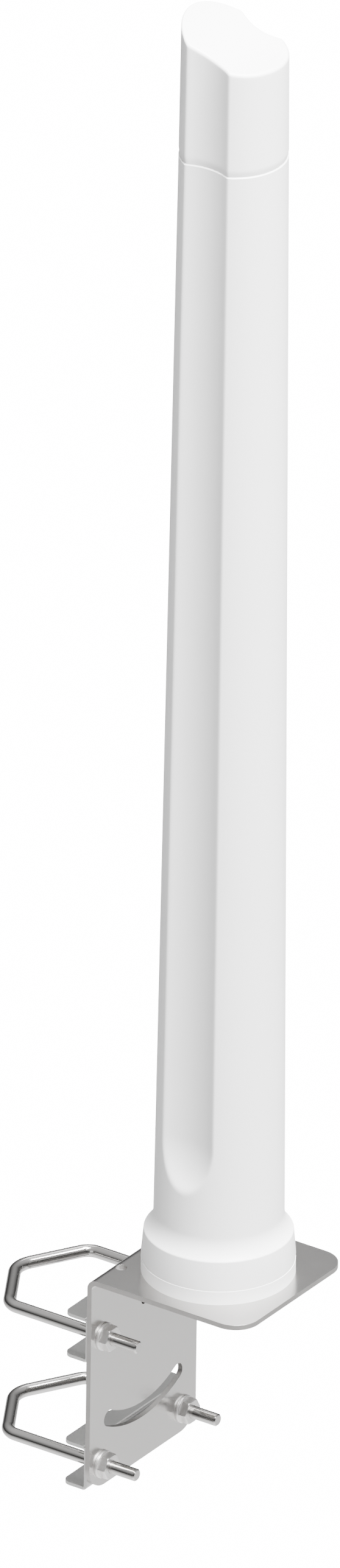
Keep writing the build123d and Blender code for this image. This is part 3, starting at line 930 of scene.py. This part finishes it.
def washer_tree() -> bpy.types.NodeTree:
    """Build the tree that sets one round-edged washer at each point of a mesh.

    Returns:
        The Geometry Nodes tree.
    """
    build, given, out = make_group(
        "washer_set",
        "GeometryNodeTree",
        {
            "Geometry": Kind.GEOMETRY,
            "Outer Radius": Kind.FLOAT,
            "Bore Radius": Kind.FLOAT,
            "Thickness": Kind.FLOAT,
            "Edge Rounding": Kind.FLOAT,
            "Round Steps": Kind.WHOLE,
            "Turn": Kind.ROTATION,
            "Material": Kind.MATERIAL,
        },
        {"Geometry": Kind.GEOMETRY},
    )
    both = build.math("ADD", given["Outer Radius"], given["Bore Radius"])
    width = build.math("SUBTRACT", given["Outer Radius"], given["Bore Radius"])
    circle = build.add(
        "GeometryNodeCurvePrimitiveCircle",
        {"Resolution": given["Round Steps"], "Radius": build.math("MULTIPLY", both, 0.5)},
    )
    section = build.add(
        "GeometryNodeCurvePrimitiveQuadrilateral", {"Width": width, "Height": given["Thickness"]}
    )
    eased = build.add(
        "GeometryNodeFilletCurve",
        {"Curve": section.outputs[0], "Count": WASHER_CORNER_STEPS, "Radius": given["Edge Rounding"]},
        mode="POLY",
    )
    washer = build.add(
        "GeometryNodeCurveToMesh", {"Curve": circle.outputs[0], "Profile Curve": eased.outputs[0]}
    )
    placed = build.add(
        "GeometryNodeInstanceOnPoints",
        {"Points": given["Geometry"], "Instance": washer.outputs[0], "Rotation": given["Turn"]},
    )
    close_tree(build, placed.outputs[0], given["Material"], out)
    return build.tree


def middle(node: str) -> Vector:
    """Return the centre of a CAD node's box."""
    low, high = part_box(node)
    return (low + high) / 2


@dataclass
class Clamps:
    """The V-bolts, nuts and washers that hold the bracket to a mast."""

    palette: Palette
    rod_r: float = 3.6 * MM
    mast_r: float = 30.15 * MM
    slant: float = 30.0
    leg_bend: float = 10.0 * MM
    apex_bend: float = 15.0 * MM
    tip_chamfer: float = 0.7 * MM
    bend_inset: float = 0.06 * MM
    washer_bore_r: float = 4.2 * MM
    washer_rounding: float = 0.25 * MM
    nut_edge: float = 0.18 * MM
    bend_steps: int = 16
    rod_steps: int = 48
    washer_steps: int = 72

    def make_bolt(self, level: str, tree: bpy.types.NodeTree) -> bpy.types.Object:
        """Bend one V-bolt round the back of the mast.

        Args:
            level: Which clamp.
            tree: The bent rod tree.

        Returns:
            The bolt.
        """
        low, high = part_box(f"{level}_v_bolt")
        leg_y = high.y - self.rod_r
        height = (low.z + high.z) / 2
        slant = math.radians(self.slant)
        apex_x = self.bend_inset - (self.mast_r + self.rod_r) / math.cos(slant)
        corner_x = apex_x + leg_y * math.tan(slant)
        tip_girth = 1 - self.tip_chamfer / self.rod_r
        path = [(high.x, -leg_y, 0.0, tip_girth), (high.x - self.tip_chamfer, -leg_y, 0.0, 1.0)]
        path += [(corner_x, -leg_y, self.leg_bend, 1.0), (apex_x, 0.0, self.apex_bend, 1.0)]
        path += [(corner_x, leg_y, self.leg_bend, 1.0)]
        path += [(high.x - self.tip_chamfer, leg_y, 0.0, 1.0), (high.x, leg_y, 0.0, tip_girth)]
        seed = bpy.data.meshes.new(f"{level}_bolt_path")
        links = [(index, index + 1) for index in range(len(path) - 1)]
        seed.from_pydata([(x, y, height) for x, y, _, _ in path], links, [])
        for label, column in (("bend", 2), ("girth", 3)):
            layer = seed.attributes.new(label, "FLOAT", "POINT")
            layer.data.foreach_set("value", [point[column] for point in path])
        values = {
            "Rod Radius": self.rod_r,
            "Bend Steps": self.bend_steps,
            "Round Steps": self.rod_steps,
            "Material": self.palette[DRAWN_ROD],
        }
        return grow(f"{level}_bent_bolt", seed, tree, values)

    def make_washers(self) -> bpy.types.Object:
        """Set the four washers on the leaf's face as one piece.

        Returns:
            The washers.
        """
        low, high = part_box(WASHERS[0])
        seed = bpy.data.meshes.new("washer_points")
        seed.from_pydata([middle(node) for node in WASHERS], [], [])
        values = {
            "Outer Radius": (high.z - low.z) / 2,
            "Bore Radius": self.washer_bore_r,
            "Thickness": high.x - low.x,
            "Edge Rounding": self.washer_rounding,
            "Round Steps": self.washer_steps,
            "Turn": (0.0, math.pi / 2, 0.0),
            "Material": self.palette[WASHER_STEEL],
        }
        return grow("clamp_washers", seed, washer_tree(), values)

    def build(self) -> None:
        """Make every clamp piece and settle each on its own body."""
        tree = bolt_tree()
        for level in LEVELS:
            settle(self.make_bolt(level, tree), f"{level}_v_bolt", "polished_rod", f"{level}_v_bolt")
            for hand in HANDS:
                nut = softened(f"{level}_{hand}_nut", f"{level}_{hand}_hexagon", self.nut_edge)
                dress(nut, self.palette[NUT_STEEL])
                settle(nut, f"{level}_{hand}_nut", "fastener_steel", f"{level}_{hand}_nut")
        settle(self.make_washers(), ROOT_BODY, "fastener_steel", *WASHERS)


# ---- fixings, connector and inside -----------------------------------------------------------------
@dataclass
class Fittings:
    """The small pieces under the shelf and everything sealed inside the cover."""

    palette: Palette
    edge: float = 0.15 * MM

    def build(self) -> None:
        """Round the pieces seen from below, and dress the CAD nodes that stay."""
        rounded = {
            "base_screws": ("base_fixing_screws", NUT_STEEL, "fastener_steel"),
            "base_screw_washers": ("base_fixing_washers", WASHER_STEEL, "fastener_steel"),
            "connector_nut": ("connector_ring_nut", NICKEL, "connector_plate"),
            "connector_body": ("connector_shell", NICKEL, "connector_plate"),
        }
        for node, (name, finish, slot) in rounded.items():
            piece = softened(node, name, self.edge)
            dress(piece, self.palette[finish])
            settle(piece, ROOT_BODY, slot, node)
        kept = {
            "base_seal": RUBBER,
            "connector_gasket": RUBBER,
            "thread_inserts": BRASS,
            "connector_insulator": BEAD_WHITE,
            "connector_contact": BRASS,
            "feed_coax": COPPER,
            "feed_tab": COPPER,
            "circuit_board": BOARD_GREEN,
            "front_feed_line": COPPER,
            "rear_ground_strip": COPPER,
            "front_dipole_arms": COPPER,
            "rear_dipole_arms": COPPER,
            "board_socket": SOCKET_BLACK,
            "foam_spacers": FOAM_WHITE,
        }
        for node, finish in kept.items():
            dress(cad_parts[node], self.palette[finish])
            LOG.info("%s: CAD node in %s", node, finish.name)


# ---- studio ----------------------------------------------------------------------------------------
@dataclass(frozen=True)
class Softbox:
    """One square area light aimed at the object's middle."""

    name: str
    place: tuple[float, float, float]
    size: float
    power: float


@dataclass
class Studio:
    """Floor, lights, sky and camera."""

    floor_z: float = -2.6
    floor_half: float = 30.0
    floor_white: float = 0.5
    floor_roughness: float = 0.9
    backdrop: float = 16.0
    horizon: float = 0.05
    zenith: float = 1.02
    target: tuple[float, float, float] = (59.2 * MM, 0.0, 369.2 * MM)
    azimuth: float = 34.15
    elevation: float = 27.8
    roll: float = 0.77
    frame_height: float = 856.8 * MM
    lens: float = 1400.0
    sensor: float = 36.0
    view_sensor: float = 150.0
    clip_share: float = 3.0
    softboxes: tuple[Softbox, ...] = (
        Softbox("key_box", (3.1, -1.05, 3.3), 1.9, 350.0),
        Softbox("top_box", (1.5, -0.25, 4.8), 2.6, 2300.0),
        Softbox("front_box", (0.3, -2.8, 0.9), 1.4, 9.0),
        Softbox("rear_box", (-1.0, 1.9, 3.0), 1.4, 24.0),
    )

    def make_floor(self) -> None:
        """Lay a plain pale floor well below the bracket, as white as the sky where it is looked at."""
        half = self.floor_half
        corners = [(x * half, y * half, self.floor_z) for x, y in ((-1, -1), (1, -1), (1, 1), (-1, 1))]
        mesh = bpy.data.meshes.new("floor")
        mesh.from_pydata(corners, [], [(0, 1, 2, 3)])
        floor = place_object("floor", mesh)
        material = bpy.data.materials.new("pale_floor")
        material.use_nodes = True
        build = Tree(material.node_tree)
        shader = next(n for n in material.node_tree.nodes if n.type == "BSDF_PRINCIPLED")
        grey = (self.floor_white, self.floor_white, self.floor_white, 1.0)
        shader.inputs["Base Color"].default_value = grey
        shader.inputs["Roughness"].default_value = self.floor_roughness
        glow = build.add("ShaderNodeEmission", {"Strength": self.backdrop})
        seen = build.add("ShaderNodeLightPath").outputs["Is Camera Ray"]
        blend = build.add(
            "ShaderNodeMixShader",
            {0: seen, 1: shader.outputs["BSDF"], 2: glow.outputs["Emission"]},
        )
        output = next(n for n in material.node_tree.nodes if n.type == "OUTPUT_MATERIAL")
        build.feed(output.inputs["Surface"], blend.outputs["Shader"])
        mesh.materials.append(material)

    def make_lights(self) -> None:
        """Hang the softboxes."""
        aim = Vector(self.target)
        for box in self.softboxes:
            data = bpy.data.lights.new(box.name, "AREA")
            data.size = box.size
            data.energy = box.power
            light = bpy.data.objects.new(box.name, data)
            light.location = box.place
            light.rotation_euler = (aim - Vector(box.place)).to_track_quat("-Z", "Y").to_euler()
            bpy.context.scene.collection.objects.link(light)

    def make_sky(self) -> None:
        """Light the sky, dim at the horizon and bright overhead, with plain white where it is looked at."""
        world = bpy.data.worlds.new("studio_sky")
        world.use_nodes = True
        build = Tree(world.node_tree)
        shader = next(n for n in world.node_tree.nodes if n.type == "BACKGROUND")
        way = build.add("ShaderNodeTexCoord").outputs["Generated"]
        height = build.add("ShaderNodeSeparateXYZ", {"Vector": way}).outputs["Z"]
        band = build.add(
            "ShaderNodeMapRange",
            {"Value": height, "To Min": self.horizon, "To Max": self.zenith},
            interpolation_type="SMOOTHSTEP",
        ).outputs["Result"]
        seen = build.add("ShaderNodeLightPath").outputs["Is Camera Ray"]
        unseen = build.math("SUBTRACT", 1.0, seen)
        cast = build.math("MULTIPLY", band, unseen)
        shown = build.math("MULTIPLY", self.backdrop, seen)
        build.feed(shader.inputs["Strength"], build.math("ADD", cast, shown))
        shader.inputs["Color"].default_value = (1.0, 1.0, 1.0, 1.0)
        bpy.context.scene.world = world

    def make_camera(self) -> None:
        """Stand the camera far off with a long lens, so that the view is nearly parallel."""
        data = bpy.data.cameras.new("camera")
        data.sensor_fit = "VERTICAL"
        data.sensor_height = self.sensor
        data.sensor_width = self.view_sensor
        data.lens = self.lens
        distance = self.frame_height * self.lens / self.sensor
        data.clip_end = self.clip_share * distance
        turn = math.radians(self.azimuth)
        lift = math.radians(self.elevation)
        back = Vector((
            math.sin(turn) * math.cos(lift),
            -math.cos(turn) * math.cos(lift),
            math.sin(lift),
        ))
        camera = bpy.data.objects.new("camera", data)
        camera.location = Vector(self.target) + back * distance
        facing = (-back).to_track_quat("-Z", "Y")
        camera.rotation_mode = "QUATERNION"
        camera.rotation_quaternion = facing @ Quaternion((0, 0, 1), math.radians(self.roll))
        bpy.context.scene.collection.objects.link(camera)
        bpy.context.scene.camera = camera

    def build(self) -> None:
        """Set up the whole studio."""
        self.make_floor()
        self.make_lights()
        self.make_sky()
        self.make_camera()


def main() -> None:
    """Build the studio and every sub-assembly in order."""
    logging.basicConfig(level=logging.INFO, format="%(name)s: %(message)s")
    Studio().build()
    palette = Palette()
    for part in (Cover, Bracket, Clamps, Fittings):
        part(palette).build()


if __name__ == "__main__":
    main()
